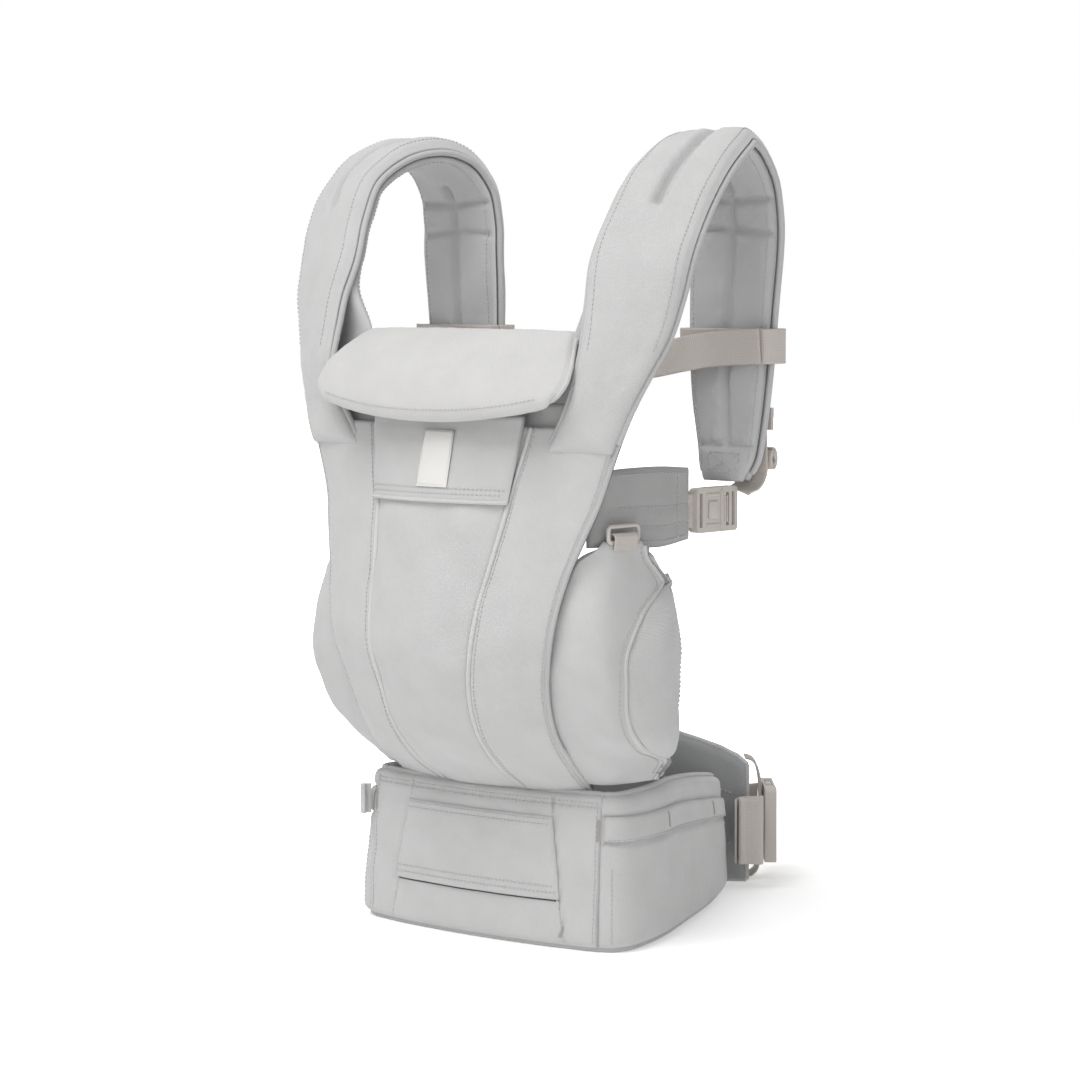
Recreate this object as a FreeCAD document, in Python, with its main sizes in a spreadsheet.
import FreeCAD, Part
import math
import os
import re
import Sketcher

# Soft baby carrier, in millimetres: a waist belt, a bowl-shaped body panel with a head support,
# two shoulder straps, and side-release buckles at the waist, the chest and both sides.
# Frame: +Z up, -Y is the outward (front) face of the body panel, +X is right seen from the front.
# Origin: on the floor plane, under the middle of the whole carrier's outline.
# The pieces are laid out from a working origin, then all moved by origin_shift along Y
# and down by origin_drop. Positions below are in the working frame.

Vector = FreeCAD.Vector
DIMS = {
    # waist belt and its layers
    "belt_height": 110.0, "cover_thick": 4.0, "foam_thick": 6.0, "lining_thick": 2.0,
    "layer_gap": 0.3, "belt_flare": 9.0, "wing_end_height": 86.0,
    # panel, straps and webbing
    "panel_thick": 5.0, "strap_thick": 9.0, "strap_lining_thick": 9.0,
    "rear_strap_width": 78.0, "web_thick": 1.6, "chest_web_width": 25.0, "waist_web_width": 50.0,
    # the two buckle sizes
    "waist_w": 58.0, "waist_thick": 9.0, "waist_female_len": 46.0, "waist_male_len": 22.0,
    "waist_cavity": 30.0,
    "side_w": 32.0, "side_thick": 8.0, "side_female_len": 30.0, "side_male_len": 18.0,
    "side_cavity": 19.0,
    # shared by both buckle sizes
    "plate_wall": 1.8, "buckle_gap": 0.4, "tongue_w": 6.0, "prong_w": 5.0, "slot_w": 3.4,
    "bar_w": 3.4,
    # seat rings and tabs
    "ring_len": 36.0, "ring_height": 14.0, "ring_bar": 3.0, "ring_bore": 2.4, "tab_tube": 4.0,
    "tab_len": 25.0, "tab_depth": 9.0,
    # label and strap adjusters
    "label_w": 30.0, "label_height": 40.0, "label_thick": 0.8,
    "adjuster_len": 16.0, "adjuster_thick": 3.0,
    # the move from the working origin
    "origin_shift": 17.395, "origin_drop": 15.0,
}

doc = FreeCAD.newDocument("soft_carrier")
sheet = doc.addObject("Spreadsheet::Sheet", "Dims")
for row_number, (alias, number) in enumerate(DIMS.items(), 1):
    sheet.set(f"A{row_number}", alias)
    sheet.set(f"B{row_number}", str(number))
    sheet.setAlias(f"B{row_number}", alias)
doc.recompute()


def dim(alias):
    return float(sheet.get(alias))


def linked(expression):
    """The expression with each alias written in full, such as 'Dims.waist_w/2'."""
    return re.sub(r"[a-z_]+", r"Dims.\g<0>", expression)


def value(expression):
    """The number an expression of aliases stands for. It may use + - * / but no brackets."""
    text = re.sub(r"[a-z_]+", lambda found: repr(dim(found.group())), expression)
    total = 0.0
    for sign, term in re.findall(r"([+-]?)([^+-]+)", text):
        factors = re.split(r"([*/])", term)
        product = float(factors[0])
        for operator, factor in zip(factors[1::2], factors[2::2]):
            product = product * float(factor) if operator == "*" else product / float(factor)
        total += -product if sign == "-" else product
    return total


SIDES = (("right", 1), ("left", -1))    # the sign is that of X
FLOOR = dim("origin_drop")              # height of the floor in the working frame
BELT_HEIGHT = dim("belt_height")
WEB = dim("web_thick")
parts = []                              # every piece to export


# ---------------------------------------------------------------- PartDesign helpers
def new_body(label):
    body = doc.addObject("PartDesign::Body", label)
    body.Label = label
    parts.append(body)
    return body


def outline(body, role, name, corners):
    """A sketch of a closed polygon on the body's origin plane of that role."""
    sketch = body.newObject("Sketcher::SketchObject", name)
    plane = next(f for f in body.Origin.OriginFeatures if f.Role == role)
    sketch.AttachmentSupport = [(plane, "")]
    sketch.MapMode = "FlatFace"
    count = len(corners)
    for i in range(count):
        start, end = corners[i], corners[(i + 1) % count]
        sketch.addGeometry(Part.LineSegment(Vector(*start, 0), Vector(*end, 0)), False)
    for i in range(count):
        sketch.addConstraint(Sketcher.Constraint("Coincident", i, 2, (i + 1) % count, 1))
    return sketch


def rectangle(body, role, name, x, y, width, height):
    """A constrained rectangle; x, y, width and height are expressions of aliases."""
    x0, y0, wide, tall = (value(expression) for expression in (x, y, width, height))
    corners = [(x0, y0), (x0 + wide, y0), (x0 + wide, y0 + tall), (x0, y0 + tall)]
    sketch = outline(body, role, name, corners)
    for kind, line in (("Horizontal", 0), ("Horizontal", 2), ("Vertical", 1), ("Vertical", 3)):
        sketch.addConstraint(Sketcher.Constraint(kind, line))
    for kind, line, expression, size in (("DistanceX", 0, width, wide),
                                         ("DistanceY", 1, height, tall)):
        index = sketch.addConstraint(Sketcher.Constraint(kind, line, 1, line, 2, size))
        sketch.setExpression(f"Constraints[{index}]", linked(expression))
    for kind, axis, expression, start in (("DistanceX", -2, x, x0), ("DistanceY", -1, y, y0)):
        if abs(start) <= 1e-6:
            sketch.addConstraint(Sketcher.Constraint("PointOnObject", 0, 1, axis))
            continue
        index = sketch.addConstraint(Sketcher.Constraint(kind, -1, 1, 0, 1, start))
        # only positive distances are bound to the sheet
        if start > 0:
            sketch.setExpression(f"Constraints[{index}]", linked(expression))
    return sketch


def pad(body, sketch, name, length):
    """Pads the sketch by an expression, half to each side of its plane."""
    feature = body.newObject("PartDesign::Pad", name)
    feature.Profile = sketch
    feature.Midplane = True
    feature.Length = value(length)
    feature.setExpression("Length", linked(length))
    doc.recompute()


def cut_through(body, sketch, name):
    feature = body.newObject("PartDesign::Pocket", name)
    feature.Profile = sketch
    feature.Type = 1        # through all
    feature.Midplane = True
    doc.recompute()


def round_corners(body, name, radius, chosen):
    """Fillets the edges along local Z whose centre passes the chosen() test."""
    base = body.Tip
    names = []
    for i, edge in enumerate(base.Shape.Edges, 1):
        run = edge.Vertexes[1].Point - edge.Vertexes[0].Point
        if abs(run.z) > 0.999 * run.Length and chosen(edge.CenterOfMass):
            names.append(f"Edge{i}")
    feature = body.newObject("PartDesign::Fillet", name)
    feature.Base = (base, names)
    feature.Radius = radius
    doc.recompute()


def place(piece, origin, x_axis, z_axis):
    """Moves the local origin to origin and turns local X and Z to the given directions."""
    u = Vector(*x_axis).normalize()
    w = Vector(*z_axis).normalize()
    v = w.cross(u)
    piece.Placement = FreeCAD.Placement(FreeCAD.Matrix(
        u.x, v.x, w.x, origin[0],
        u.y, v.y, w.y, origin[1],
        u.z, v.z, w.z, origin[2],
        0, 0, 0, 1))


# ---------------------------------------------------------------- side-release buckle
# Local frame: +X from the mouth into the socket, Y across the width, Z through the thickness.
# kind is "side" or "waist", the first word of that size's aliases.
SOCKET_CORNER = 5.0
PLUG_CORNER = 3.0


def webbing_slot(body, kind, sketch_name, cut_name, x):
    """A slot across the plate that leaves 4 at each side."""
    sketch = rectangle(body, "XY_Plane", sketch_name, x, f"-{kind}_w/2+4", "slot_w", f"{kind}_w-8")
    cut_through(body, sketch, cut_name)


def buckle_socket(label, kind, frame):
    body = new_body(label)
    length = f"{kind}_female_len"
    thick = f"{kind}_thick"
    plan = rectangle(body, "XY_Plane", label + "_plan", "0", f"-{kind}_w/2", length, f"{kind}_w")
    pad(body, plan, label + "_pad", thick)
    round_corners(body, label + "_corners", SOCKET_CORNER, lambda c: c.x > value(length) - 1)
    # the cavity is open at the mouth and at both sides
    cavity = rectangle(body, "XZ_Plane", label + "_socket", "0", f"-{thick}/2+plate_wall",
                       f"{kind}_cavity", f"{thick}-2*plate_wall")
    cut_through(body, cavity, label + "_socket_cut")
    webbing_slot(body, kind, label + "_slot", label + "_slot_cut", length + "-bar_w-slot_w")
    place(body, *frame)


def buckle_plug(label, kind, frame):
    """The plate with a ladder lock and the middle tongue."""
    body = new_body(label)
    length = f"{kind}_male_len"
    plan = rectangle(body, "XY_Plane", label + "_plan", f"-{length}", f"-{kind}_w/2",
                     length + "-buckle_gap", f"{kind}_w")
    pad(body, plan, label + "_pad", f"{kind}_thick")
    round_corners(body, label + "_corners", PLUG_CORNER, lambda c: c.x < 1 - value(length))
    # ladder lock: two webbing slots with a bar between them
    for letter, bars in (("a", "bar_w"), ("b", "bar_w+slot_w+bar_w")):
        webbing_slot(body, kind, f"{label}_slot_{letter}", f"{label}_slot_cut_{letter}",
                     f"-{length}+{bars}")
    # the tongue starts 1 inside the plate, so that the two join
    tongue = rectangle(body, "XY_Plane", label + "_tongue", "-buckle_gap-1", "-tongue_w/2",
                       f"{kind}_cavity-1.5+buckle_gap", "tongue_w")
    pad(body, tongue, label + "_tongue_pad", f"{kind}_thick-2*plate_wall-2*buckle_gap")
    place(body, *frame)


def buckle_prong(label, kind, side, frame):
    """A prong whose button stands at the local +Y (side 1) or -Y (side -1) edge."""
    body = new_body(label)
    half = dim(kind + "_w") / 2
    cavity = dim(kind + "_cavity")
    root = dim("buckle_gap")
    outer = half - 3.0
    inner = outer - dim("prong_w")
    button = half - 0.3
    points = [(root, inner), (cavity - 2.0, inner), (cavity - 1.2, inner + 2),
              (cavity - 3.0, outer - 0.5), (cavity - 5, button), (7.0, button),
              (5.0, outer - 1.5), (root, outer - 1.5)]
    plan = outline(body, "XY_Plane", label + "_plan", [(x, side * y) for x, y in points])
    pad(body, plan, label + "_pad", f"{kind}_thick-2*plate_wall-2*buckle_gap")
    place(body, *frame)


def buckle(name, kind, upper_side, frame, suffix=""):
    """A whole buckle; frame is its origin and the directions of local X and Z."""
    buckle_socket(f"{name}_socket{suffix}", kind, frame)
    buckle_plug(f"{name}_plug{suffix}", kind, frame)
    buckle_prong(f"{name}_prong_upper{suffix}", kind, upper_side, frame)
    buckle_prong(f"{name}_prong_lower{suffix}", kind, -upper_side, frame)


# ---------------------------------------------------------------- soft solids
def soft(label, shape):
    piece = doc.addObject("Part::Feature", label)
    piece.Label = label
    piece.Shape = shape
    parts.append(piece)


def soft_pair(label, shape):
    """The right-hand piece and its mirror image on the left."""
    soft(label + "_right", shape)
    soft(label + "_left", shape.mirror(Vector(0, 0, 0), Vector(1, 0, 0)))


def interpolate(table, column, key):
    """Linear interpolation of a column over the table's first column, held past its end."""
    for low, high in zip(table, table[1:]):
        if key <= high[0]:
            share = (key - low[0]) / (high[0] - low[0])
            return low[column] + (high[column] - low[column]) * share
    return table[-1][column]


def smooth(points, count):
    """count + 1 points along a Catmull-Rom curve through the points."""
    def beyond(end, neighbour):
        return tuple(2 * p - q for p, q in zip(end, neighbour))

    run = [beyond(points[0], points[1]), *points, beyond(points[-1], points[-2])]
    spans = len(points) - 1
    result = []
    for i in range(count + 1):
        along = min(i * spans / count, spans - 1e-9)
        first = int(along)
        t = along - first
        result.append(tuple(
            0.5 * (2 * b + (c - a) * t + (2 * a - 5 * b + 4 * c - e) * t ** 2
                   + (3 * b - a - 3 * c + e) * t ** 3)
            for a, b, c, e in zip(*run[first:first + 4])))
    return result


def plan_normals(points):
    """Unit normals of a plan curve, pointing to the right of its run."""
    normals = []
    for i in range(len(points)):
        before, after = points[max(i - 1, 0)], points[min(i + 1, len(points) - 1)]
        dx, dy = after[0] - before[0], after[1] - before[1]
        length = math.hypot(dx, dy)
        normals.append((dy / length, -dx / length))
    return normals


def solid_loft(wires, ruled=False):
    shape = Part.makeLoft(wires, True, ruled)
    # sections that run the other way round give an inside-out solid
    if shape.Volume < 0:
        shape.reverse()
    return shape


def quad_loft(stations, ruled=False):
    """A solid through closed four-cornered sections."""
    return solid_loft([Part.makePolygon([Vector(*p) for p in corners + corners[:1]])
                       for corners in stations], ruled)


def curve_edge(points):
    curve = Part.BSplineCurve()
    curve.interpolate([Vector(*p) for p in points])
    return curve.toShape()


def skin_loft(stations):
    """A solid through sections given as (outer points, inner points), each a smooth curve."""
    wires = []
    for outer, inner in stations:
        inner = inner[::-1]
        wires.append(Part.Wire([
            curve_edge(outer), Part.makeLine(Vector(*outer[-1]), Vector(*inner[0])),
            curve_edge(inner), Part.makeLine(Vector(*inner[-1]), Vector(*outer[0]))]))
    return solid_loft(wires)


# ---------------------------------------------------------------- waist belt
# x, y of the cover's outer face in plan at the belt's foot
BELT_FRONT = [(-107, -161.5), (-80, -167), (-40, -171), (0, -172.5),
              (40, -171), (80, -167), (107, -161.5)]
# the wings run back from the side seams; the left one runs on past the middle
WING_RIGHT = [(109, -160.8), (122, -152), (127, -132), (119, -90),
              (100, -40), (70, 28), (40, 82), (19.5, 112)]
WING_LEFT = [(-109, -160.8), (-122, -152), (-127, -132), (-119, -90), (-98, -36),
             (-68, 35), (-34, 96), (-8, 128), (12, 144)]
# share of the left wing's run, height of its top edge over the belt's: it rises, then comes down
LEFT_RISE = [(0.0, 0.0), (0.3, 0.0), (0.5, 6.0), (0.65, 11.0), (0.75, 10.5), (0.81, 7.0),
             (0.875, 1.0), (0.94, -5.0), (1.0, -14.0)]
INSET = 4           # foam and lining stop short of the cover's edges
FOOT_TRIM = 1.5     # the front cover is built this far below the floor, then cut flat
PATCH_DEPTHS = (-2.2, -0.7)
PATCH_HEIGHTS = (35, 92)

FOAM_DEPTH = dim("cover_thick") + dim("layer_gap")
LINING_DEPTH = FOAM_DEPTH + dim("foam_thick") + dim("layer_gap")
# name, outer and inner depth behind the belt's outer face, inset from the edges
LAYERS = [("cover", 0, dim("cover_thick"), 0),
          ("foam", FOAM_DEPTH, FOAM_DEPTH + dim("foam_thick"), INSET),
          ("lining", LINING_DEPTH, LINING_DEPTH + dim("lining_thick"), INSET)]
GROUND = Part.makeBox(600, 600, 50, Vector(-300, -300, FLOOR - 50))


def band(path, count, depths, low, high, flare, first_normal=None):
    """A belt layer between two depths behind the path, leaning in by flare at full height.
    low and high give its edges' heights at a share of the run; first_normal replaces the
    normal at the path's start, where the layer meets a seam."""
    points = smooth(path, count)
    normals = plan_normals(points)
    if first_normal:
        normals[0] = first_normal

    def corner(i, depth, z):
        (x, y), (nx, ny) = points[i], normals[i]
        inward = depth + flare * (z - FLOOR) / BELT_HEIGHT
        return (x - nx * inward, y - ny * inward, z)

    near, far = depths
    stations = []
    for i in range(count + 1):
        z0, z1 = low(i / count), high(i / count)
        stations.append([corner(i, near, z0), corner(i, near, z1),
                         corner(i, far, z1), corner(i, far, z0)])
    return quad_loft(stations)


def belt_center():
    for name, near, far, inset in LAYERS:
        foot = FLOOR + inset if inset else FLOOR - FOOT_TRIM
        top = FLOOR + BELT_HEIGHT - inset
        shape = band(BELT_FRONT, 12, (near, far), lambda s: foot, lambda s: top,
                     dim("belt_flare"))
        soft("waistbelt_center_" + name, shape.cut(GROUND))


def belt_front_patch():
    foot, top = (FLOOR + height for height in PATCH_HEIGHTS)
    soft("waistbelt_front_patch", band(smooth(BELT_FRONT, 12)[1:-1], 10, PATCH_DEPTHS,
                                       lambda s: foot, lambda s: top, dim("belt_flare")))


def wing_foot(s):
    return FLOOR + 3 * math.sin(math.pi * s)


def right_wing_top(s):
    """Level at first, then falling to wing_end_height."""
    drop = BELT_HEIGHT - dim("wing_end_height")
    return FLOOR + BELT_HEIGHT - drop * max(0.0, (s - 0.35) / 0.65) ** 1.4


def left_wing_top(s):
    return FLOOR + BELT_HEIGHT + interpolate(LEFT_RISE, 1, s)


def belt_wing(side, sign, path, top):
    # the left path has the outside on its left, so depth and flare change sign there
    for name, near, far, inset in LAYERS:
        shape = band(path, 16, (sign * near, sign * far),
                     lambda s: wing_foot(s) + inset, lambda s: top(s) - inset,
                     sign * dim("belt_flare"), first_normal=(0.2, -0.98 * sign))
        soft(f"waistbelt_wing_{side}_{name}", shape.cut(GROUND))


# ---------------------------------------------------------------- body panel
# z, seam x, seam y, edge x, edge y, centre y; all on the outer face
PANEL_ROWS = [
    (127, 38.0, -156.0, 86.0, -146.0, -160.0), (145, 38.5, -184.0, 91.0, -168.0, -188.0),
    (169, 39.5, -206.0, 91.0, -187.0, -211.0), (199, 41.5, -220.0, 94.0, -199.0, -226.0),
    (229, 47.0, -225.0, 101.0, -206.0, -232.0), (257, 50.0, -221.0, 106.0, -205.0, -229.0),
    (285, 54.0, -213.0, 112.0, -199.0, -222.0), (310, 58.0, -206.0, 120.0, -192.0, -214.0),
    (334, 62.0, -200.0, 128.0, -185.0, -208.0), (369, 70.0, -193.0, 140.0, -182.0, -200.0)]
SEAM_GAP = 0.4              # each piece stops this far from the seam line
PANEL_LINING = (1.2, 4.2)   # depths of the lining's faces behind the panel
FLAP_DEPTHS = (-6.1, -4.5)  # in front of the panel's outer face
LABEL_BACK = -6.6


def set_back(point, depth):
    """A point of the panel's outer face moved by depth into the carrier."""
    x, y, z = point
    turn = x * 0.45
    length = math.hypot(turn, 100.0)
    return (x - depth * turn / length, y + depth * 100.0 / length, z)


def panel_section(points, z, near, far):
    points = [(x, y, z) for x, y in points]
    return [set_back(p, near) for p in points], [set_back(p, far) for p in points]


def panel_piece(columns, near, far):
    """columns(row) gives the plan points of the outer face at that row's height."""
    return skin_loft([panel_section(columns(row), row[0], near, far) for row in PANEL_ROWS])


def center_columns(row):
    z, seam_x, seam_y, edge_x, edge_y, center_y = row
    seam_x_in = seam_x - SEAM_GAP
    quarter_y = center_y * 0.75 + seam_y * 0.25
    return [(-seam_x_in, seam_y), (-seam_x / 2, quarter_y), (0, center_y),
            (seam_x / 2, quarter_y), (seam_x_in, seam_y)]


def band_columns(row, sign):
    z, seam_x, seam_y, edge_x, edge_y, center_y = row
    start_y = seam_y + (edge_y - seam_y) * SEAM_GAP / (edge_x - seam_x)
    return [(sign * (seam_x + SEAM_GAP), start_y),
            (sign * (seam_x + edge_x) / 2, seam_y * 0.58 + edge_y * 0.42),
            (sign * edge_x, edge_y)]


def lining_columns(row):
    z, seam_x, seam_y, edge_x, edge_y, center_y = row
    return [(-edge_x, edge_y), (-seam_x, seam_y), (0, center_y),
            (seam_x, seam_y), (edge_x, edge_y)]


def body_panel():
    """The centre field, the two side bands and the lining."""
    thick = dim("panel_thick")
    soft("panel_center", panel_piece(center_columns, 0, thick))
    for side, sign in SIDES:
        soft("panel_band_" + side, panel_piece(lambda row: band_columns(row, sign), 0, thick))
    near, far = (thick + depth for depth in PANEL_LINING)
    soft("panel_lining", panel_piece(lining_columns, near, far))


def patch(z0, z1, depths, half_width0, half_width1):
    """A sheet that follows the middle of the panel between two heights."""
    stations = []
    for i in range(4):
        z = z0 + (z1 - z0) * i / 3
        half = half_width0 + (half_width1 - half_width0) * i / 3
        seam_x, seam_y, center_y = (interpolate(PANEL_ROWS, column, z) for column in (1, 2, 5))
        points = [(u * half, center_y + (seam_y - center_y) * (abs(u) * half / seam_x) ** 2)
                  for u in (-1, -0.5, 0, 0.5, 1)]
        stations.append(panel_section(points, z, *depths))
    return skin_loft(stations)


def flap_and_label():
    """Both lie on the upper middle of the panel, the label outside the flap."""
    soft("pocket_flap", patch(331, 384, FLAP_DEPTHS, half_width0=60, half_width1=66))
    half = dim("label_w") / 2
    soft("label_patch", patch(340, 340 + dim("label_height") * 0.95,
                              (LABEL_BACK - dim("label_thick"), LABEL_BACK), half, half))


# ---------------------------------------------------------------- seat sides
# z, then x, y of: front, front middle, piping, rear middle, rear
SEAT_ROWS = [
    (128, 88, -131, 104, -126, 116, -112, 116, -98, 112, -86),
    (160, 94, -162, 122, -156, 132, -140, 133, -112, 118, -80),
    (200, 98, -186, 130, -176, 137, -160, 138, -118, 118, -75),
    (230, 102, -194, 132, -184, 137, -166, 138, -120, 118, -76),
    (262, 106, -192, 130, -178, 134, -152, 133, -116, 117, -86),
    (285, 112, -186, 127, -170, 130, -138, 129, -122, 121, -104),
    (296, 118, -176, 125, -168, 128, -143, 127.5, -136, 125, -128)]
STEPS = 4                   # curve steps between neighbouring points of a row
GUSSET_THICK = 3.0
BOLSTER_THICK = 10.0
RING_X, TAB_Y, RING_Z = 127.0, -167.5, 308.0     # front end of the right tab's tube


def seat_piece(first, last, thick):
    """The right-hand solid between two of the rows' points, thickened inwards."""
    stations = []
    for z, *numbers in SEAT_ROWS:
        curve = smooth(list(zip(numbers[::2], numbers[1::2])), 4 * STEPS)
        run = slice(first * STEPS, last * STEPS + 1)
        outer = [(x, y, z) for x, y in curve[run]]
        inner = [(x - nx * thick, y - ny * thick, z)
                 for (x, y), (nx, ny) in zip(curve[run], plan_normals(curve)[run])]
        stations.append((outer, inner))
    return skin_loft(stations)


def seat_sides():
    gusset = seat_piece(0, 2, GUSSET_THICK)
    # the bolster gives way where it meets the gusset
    bolster = seat_piece(2, 4, BOLSTER_THICK).cut(gusset).Solids[0]
    soft_pair("seat_gusset", gusset)
    soft_pair("thigh_bolster", bolster)


def seat_tab(side, sign):
    """A webbing tab: a bored tube along Y with a leaf hanging from it."""
    tube = doc.addObject("Part::Cylinder", "tab_tube_" + side)
    tube.setExpression("Radius", "Dims.tab_tube")
    tube.setExpression("Height", "Dims.tab_len")
    leaf = doc.addObject("Part::Box", "tab_leaf_" + side)
    leaf.setExpression("Length", "Dims.tab_depth")
    leaf.Width = 3.0
    leaf.setExpression("Height", "Dims.tab_len")
    leaf.Placement = FreeCAD.Placement(Vector(1.5, -1.5, 0), FreeCAD.Rotation())
    solid = doc.addObject("Part::Fuse", "tab_solid_" + side)
    solid.Base, solid.Tool = tube, leaf
    # the bore runs out past both ends of the tube
    bore = doc.addObject("Part::Cylinder", "tab_bore_" + side)
    bore.setExpression("Radius", "Dims.ring_bore")
    bore.Height = 60
    bore.Placement = FreeCAD.Placement(Vector(0, 0, -10), FreeCAD.Rotation())
    tab = doc.addObject("Part::Cut", "seat_tab_" + side)
    tab.Label = "seat_tab_" + side
    tab.Base, tab.Tool = solid, bore
    doc.recompute()
    place(tab, (sign * RING_X, TAB_Y, RING_Z), (0, 0, -1), (0, 1, 0))
    parts.append(tab)


def seat_ring(side, sign):
    """A rectangular ring standing up from the tab's bore."""
    ring = new_body("seat_ring_" + side)
    plan = rectangle(ring, "XY_Plane", "ring_plan_" + side, "-ring_bar/2", "-ring_len/2",
                     "ring_height", "ring_len")
    pad(ring, plan, "ring_pad_" + side, "ring_bar")
    round_corners(ring, "ring_round_" + side, 2.4, lambda c: True)
    window = rectangle(ring, "XY_Plane", "ring_window_" + side, "ring_bar/2",
                       "-ring_len/2+ring_bar", "ring_height-2*ring_bar", "ring_len-2*ring_bar")
    cut_through(ring, window, "ring_window_cut_" + side)
    place(ring, (sign * RING_X, TAB_Y + dim("tab_len") / 2, RING_Z), (0, 0, 1), (1, 0, 0))


# ---------------------------------------------------------------- underarm straps
# y, low z, high z, outer x
UNDERARM_ROWS = [(-168, 301, 354, 120.0), (-140, 300, 355, 121.0),
                 (-105, 300, 355, 123.6), (-76, 303, 354, 126.5)]
UNDERARM_THICK = 5


def underarm_strap(side, sign):
    """The strap and the side buckle behind it, its plug to the rear."""
    stations = []
    for y, z0, z1, x in UNDERARM_ROWS:
        inner, outer = sign * (x - UNDERARM_THICK), sign * x
        stations.append([(inner, y, z0), (outer, y, z0), (outer, y, z1), (inner, y, z1)])
    soft("underarm_strap_" + side, quad_loft(stations))
    frame = ((sign * 125.0, -44.0, 322.0), (0, -1, 0), (sign, 0, 0))
    buckle("side_buckle", "side", -sign, frame, "_" + side)


# ---------------------------------------------------------------- shoulder straps
# inner x, y, outer x, y, inner z, outer z of the right strap's outside face, from the front
# foot over the shoulder and down to the rear foot
STRAP_ROWS = [
    (92, -194, 147, -180, 377, 377), (110, -197, 157, -179, 404, 404),
    (117, -197, 166, -172, 425, 425), (118, -193, 175, -165, 447, 447),
    (116, -187, 182, -160, 475, 477), (112, -177, 185, -153, 503, 507),
    (116, -163, 187, -138, 534, 537), (119, -143, 187, -114, 563, 566),
    (116, -108, 181, -84, 583, 585), (107, -74, 174, -66, 589, 590),
    (99, -46, 170, -43, 580, 580), (94, -27, 169, -25, 557, 557),
    (92, -21, 169, -19, 530, 530), (91, -21, 169, -19, 505, 505),
    (90, -21, 166, -19, 475, 475), (90, -21, 163, -19, 445, 445),
    (91, -21, 160, -19, 415, 415), (93, -20, 156, -18, 390, 390),
    (96, -19, 151, -17, 366, 366), (96, -18, 147, -16, 356, 356),
    (98, -17, 137, -15, 342, 342)]
STRAP_EDGES = [(Vector(xi, yi, zi), Vector(xo, yo, zo)) for xi, yi, xo, yo, zi, zo in STRAP_ROWS]
LOOP_MIDDLE = Vector(0, -60, 450)       # a point inside the strap's loop
PADDING_START, PADDING_INSET = 5.0, 3.5
# y, z of the webbing that hangs from the strap's rear foot
TAIL_ROWS = [(-16.6, 402), (-15.8, 380), (-14.8, 358), (-13.6, 348), (-12.8, 340.5)]
TAIL_X = (122, 147)
ADJUSTER_X, ADJUSTER_Y, ADJUSTER_Z = (119, 150), -14.4, 378


def strap_section(i, near, far, inset):
    """The section at row i between two depths, drawn in by inset at both edges."""
    before = STRAP_EDGES[max(i - 1, 0)]
    after = STRAP_EDGES[min(i + 1, len(STRAP_EDGES) - 1)]
    inner, outer = STRAP_EDGES[i]
    run = (after[0] + after[1] - before[0] - before[1]).normalize()
    across = (outer - inner).normalize()
    normal = across.cross(run).normalize()
    # the first two sections are thickened horizontally
    if i <= 1:
        normal = Vector(normal.x, normal.y, 0).normalize()
    if normal.dot(LOOP_MIDDLE - (inner + outer) * 0.5) < 0:
        normal = normal * -1
    inner, outer = inner + across * inset, outer - across * inset
    return [inner + normal * near, outer + normal * near,
            outer + normal * far, inner + normal * far]


def shoulder_straps():
    count = len(STRAP_ROWS)
    thick = dim("strap_thick")
    soft_pair("shoulder_strap", quad_loft([strap_section(i, 0, thick, 0) for i in range(count)]))
    near, far = thick + PADDING_START, thick + dim("strap_lining_thick")
    soft_pair("shoulder_strap_padding", quad_loft(
        [strap_section(i, near, far, PADDING_INSET) for i in range(4, count - 2)]))


def shoulder_webbing():
    x0, x1 = TAIL_X
    soft_pair("shoulder_webbing", quad_loft(
        [[(x0, y - WEB / 2, z), (x1, y - WEB / 2, z), (x1, y + WEB / 2, z), (x0, y + WEB / 2, z)]
         for y, z in TAIL_ROWS], ruled=True))


def shoulder_adjuster():
    x0, x1 = ADJUSTER_X
    z0, z1 = ADJUSTER_Z, ADJUSTER_Z + dim("adjuster_len")
    soft_pair("shoulder_adjuster", quad_loft(
        [[(x0, y, z0), (x1, y, z0), (x1, y, z1), (x0, y, z1)]
         for y in (ADJUSTER_Y, ADJUSTER_Y + dim("adjuster_thick"))], ruled=True))


# ---------------------------------------------------------------- chest strap
KEEPER_X = 129.5
KEEPER_Y = (-42.0, -13.6)
KEEPER_Z = (426.0, 451.0)
KEEPER_PLAY = 3         # room at each edge of the strap
CHEST_Y = -45.2
CHEST_Z = 421.0         # height of the buckle and of the webbing's inner ends
# x, z, and 1 where the right half stands forward by its offset
CHEST_ROWS = [(168, 439, 0), (120, 436, 0), (98, 432, 1), (70, 427, 1)]


def chest_keeper(side, sign):
    """A flat loop round the rear run of the shoulder strap."""
    half = dim("rear_strap_width") / 2 + KEEPER_PLAY
    y0, y1 = KEEPER_Y
    z0, z1 = KEEPER_Z
    left = sign * KEEPER_X - half
    outer = Part.makeBox(2 * (half + WEB), y1 - y0 + 2 * WEB, z1 - z0,
                         Vector(left - WEB, y0 - WEB, z0))
    inner = Part.makeBox(2 * half, y1 - y0, z1 - z0 + 2, Vector(left, y0, z0 - 1))
    soft("chest_keeper_" + side, outer.cut(inner))


def chest_webbing(side, sign, end_x, forward):
    """One half, from in front of the keeper to the buckle."""
    half = dim("chest_web_width") / 2
    stations = []
    for x, z, offset in CHEST_ROWS + [(end_x, CHEST_Z, 1)]:
        x, y = sign * x, CHEST_Y - forward * offset
        stations.append([(x, y, z - half), (x, y, z + half),
                         (x, y - WEB, z + half), (x, y - WEB, z - half)])
    soft("chest_webbing_" + side, quad_loft(stations, ruled=True))


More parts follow.
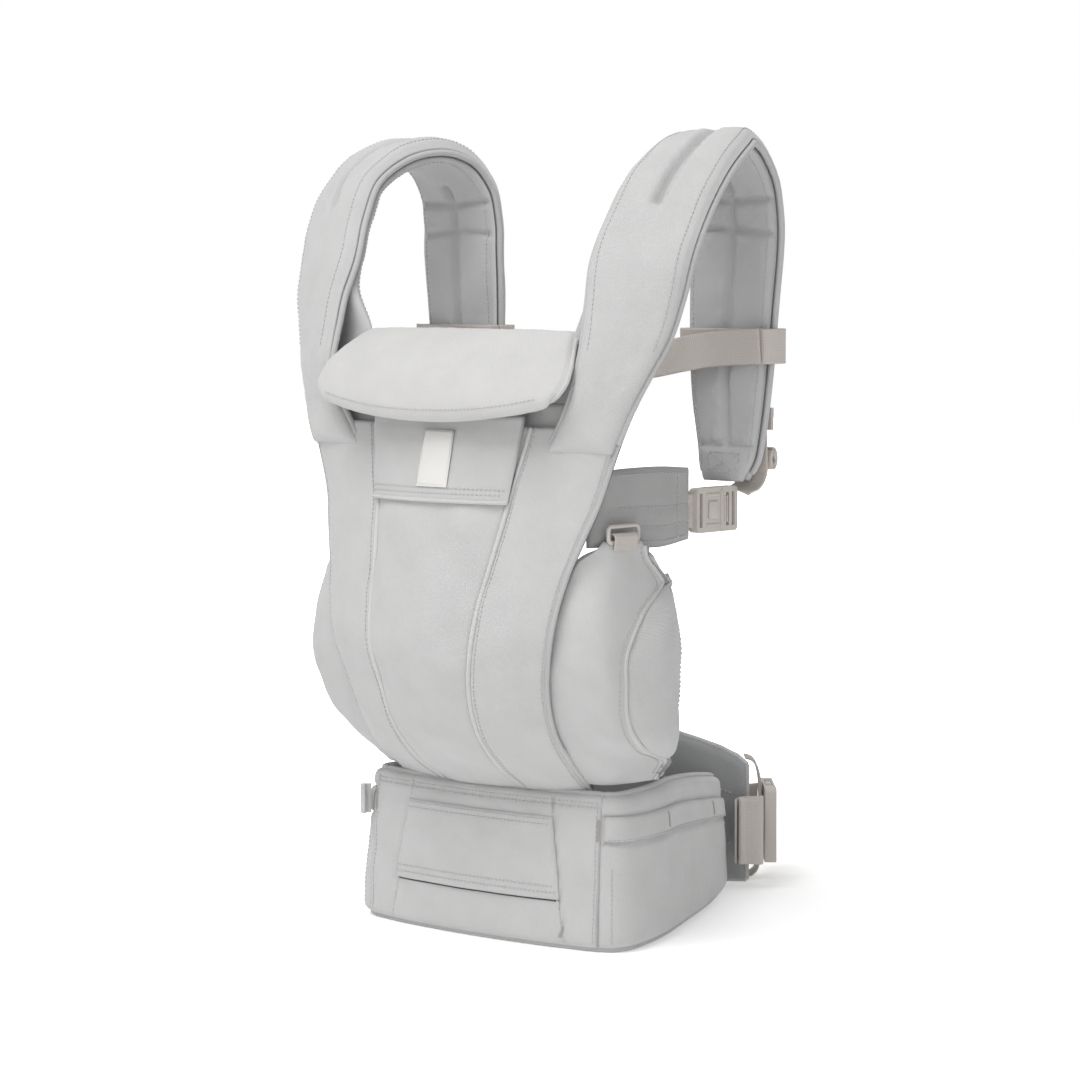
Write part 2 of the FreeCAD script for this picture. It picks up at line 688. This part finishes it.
# ---------------------------------------------------------------- waist buckle and webbing
# The buckle stands across the tip of the belt. Its pieces are placed by "out", the distance
# along the plan direction 40 degrees from +X, and "along", square to it, from plug to socket.
WAIST_TURN = math.radians(40)
OUT_X, OUT_Y = math.cos(WAIST_TURN), math.sin(WAIST_TURN)
WAIST_Z = 60.0          # middle height of the buckle and the webbing
# out, along
ANCHOR_PATH = [(84, 113), (94, 128), (104, 140), (113, 147)]
WEBBING_PATH = [(91, 60), (93, 68), (98, 74.5), (108, 77.5), (113.5, 78.5)]
# z, out
SAFETY_ROWS = [(17, 104.0), (19, 109.0), (28, 112.3), (45, 113.2), (62, 113.4), (80, 113.2),
               (97, 112.0), (107, 109.0), (109.5, 104.0)]
SAFETY_ALONG = (104, 126)
SAFETY_HALF_THICK = 0.9
ROLL_OUT, ROLL_ALONG = 103.0, 63.5              # the roll's middle
ROLL_HALF_OUT, ROLL_HALF_ALONG = 8.6, 6.2
ROLL_SKEW = 0.25
ROLL_MARGIN = 1                                 # past the webbing's edges


def waist_point(out, along, z):
    return (OUT_X * out - OUT_Y * along, OUT_Y * out + OUT_X * along, z)


def waist_ribbon(path):
    """Upright webbing with its middle on the path."""
    fine = smooth(path, 4 * (len(path) - 1))
    half = dim("waist_web_width") / 2
    z0, z1 = WAIST_Z - half, WAIST_Z + half
    stations = []
    for (out, along), (a, b) in zip(fine, plan_normals(fine)):
        near = (out - a * WEB / 2, along - b * WEB / 2)
        far = (out + a * WEB / 2, along + b * WEB / 2)
        stations.append([waist_point(*near, z0), waist_point(*near, z1),
                         waist_point(*far, z1), waist_point(*far, z0)])
    return quad_loft(stations)


def safety_loop():
    """An elastic bow from the top to the foot of the left wing's end."""
    start, end = SAFETY_ALONG
    stations = []
    for z, out in SAFETY_ROWS:
        near, far = out - SAFETY_HALF_THICK, out + SAFETY_HALF_THICK
        stations.append([waist_point(near, start, z), waist_point(near, end, z),
                         waist_point(far, end, z), waist_point(far, start, z)])
    soft("elastic_safety_loop", quad_loft(stations))


def webbing_roll():
    """The spare webbing, held in an upright roll."""
    reach = dim("waist_web_width") / 2 + ROLL_MARGIN
    wires = []
    for z in (WAIST_Z - reach, WAIST_Z + reach):
        points = []
        for i in range(24):
            angle = 2 * math.pi * i / 24
            out = ROLL_HALF_OUT * math.cos(angle)
            along = ROLL_HALF_ALONG * math.sin(angle) - ROLL_SKEW * out
            points.append(Vector(*waist_point(ROLL_OUT + out, ROLL_ALONG + along, z)))
        curve = Part.BSplineCurve()
        curve.interpolate(points, PeriodicFlag=True)
        wires.append(Part.Wire([curve.toShape()]))
    soft("waist_webbing_roll", Part.makeLoft(wires, True, False))


# ---------------------------------------------------------------- head support
# z, half width, outer y and inner y at the middle, how far the ends sit back
HEAD_ROWS = [(391, 70, -221, -211, 3), (398, 104, -224, -212, 4), (409, 112, -223, -209, 5),
             (422, 110, -215, -200, 5), (435, 103, -202, -187, 5), (446, 95, -187, -172, 4),
             (453, 88, -173, -165, 3)]
# z, half width, y at the middle of the front face
TOP_EDGE_ROWS = [(371.5, 76, -176), (380, 84, -176), (410, 94, -174), (436, 96, -167),
                 (449, 92, -162)]
TOP_EDGE_SAG, TOP_EDGE_THICK = 6, 4


def head_support_pad():
    """A crowned pad over the top of the panel, thinner towards its ends."""
    stations = []
    for z, half, outer_y, inner_y, sag in HEAD_ROWS:
        outer, inner = [], []
        for u in (-1, -0.6, 0, 0.6, 1):
            thinning = 0.25 * (inner_y - outer_y) * abs(u) ** 3
            outer.append((u * half, outer_y + sag * u * u + thinning, z))
            inner.append((u * half, inner_y + sag * u * u - thinning, z))
        stations.append((outer, inner))
    soft("head_support_pad", skin_loft(stations))


def panel_top_edge():
    stations = []
    for z, half, middle_y in TOP_EDGE_ROWS:
        outer = [(u * half, middle_y + TOP_EDGE_SAG * u * u, z) for u in (-1, -0.5, 0, 0.5, 1)]
        stations.append((outer, [(x, y + TOP_EDGE_THICK, z) for x, y, z in outer]))
    soft("panel_top_edge", skin_loft(stations))


# ---------------------------------------------------------------- build
belt_center()
belt_front_patch()
belt_wing("right", 1, WING_RIGHT, right_wing_top)
belt_wing("left", -1, WING_LEFT, left_wing_top)
body_panel()
flap_and_label()
seat_sides()
for side, sign in SIDES:
    seat_tab(side, sign)
    seat_ring(side, sign)
    underarm_strap(side, sign)
    chest_keeper(side, sign)
shoulder_straps()
shoulder_webbing()
shoulder_adjuster()
chest_webbing("right", 1, end_x=24, forward=6.6)
chest_webbing("left", -1, end_x=34, forward=0)
buckle("chest_buckle", "side", -1, ((2.0, -46.0, CHEST_Z), (-1, 0, 0), (0, -1, 0)))
buckle("waist_buckle", "waist", 1,
       (waist_point(120.0, 107.0, WAIST_Z), (-OUT_Y, OUT_X, 0), (OUT_X, OUT_Y, 0)))
soft("waist_anchor_webbing", waist_ribbon(ANCHOR_PATH))
soft("waist_webbing", waist_ribbon(WEBBING_PATH))
safety_loop()
webbing_roll()
head_support_pad()
panel_top_edge()

# ---------------------------------------------------------------- common move, check, export
shift = FreeCAD.Placement(Vector(0, dim("origin_shift"), -FLOOR), FreeCAD.Rotation())
for part in parts:
    part.Placement = shift.multiply(part.Placement)
doc.recompute()

bad = [o.Label for o in doc.Objects if "Invalid" in o.State or "Error" in o.State]
for part in parts:
    if part.Shape.isNull() or not part.Shape.isValid() or not part.Shape.Solids:
        bad.append(part.Label + " shape")
if bad:
    raise SystemExit("failed: " + ", ".join(bad))

os.makedirs("parts", exist_ok=True)
for part in parts:
    part.Shape.exportStep(f"parts/{part.Label}.step")
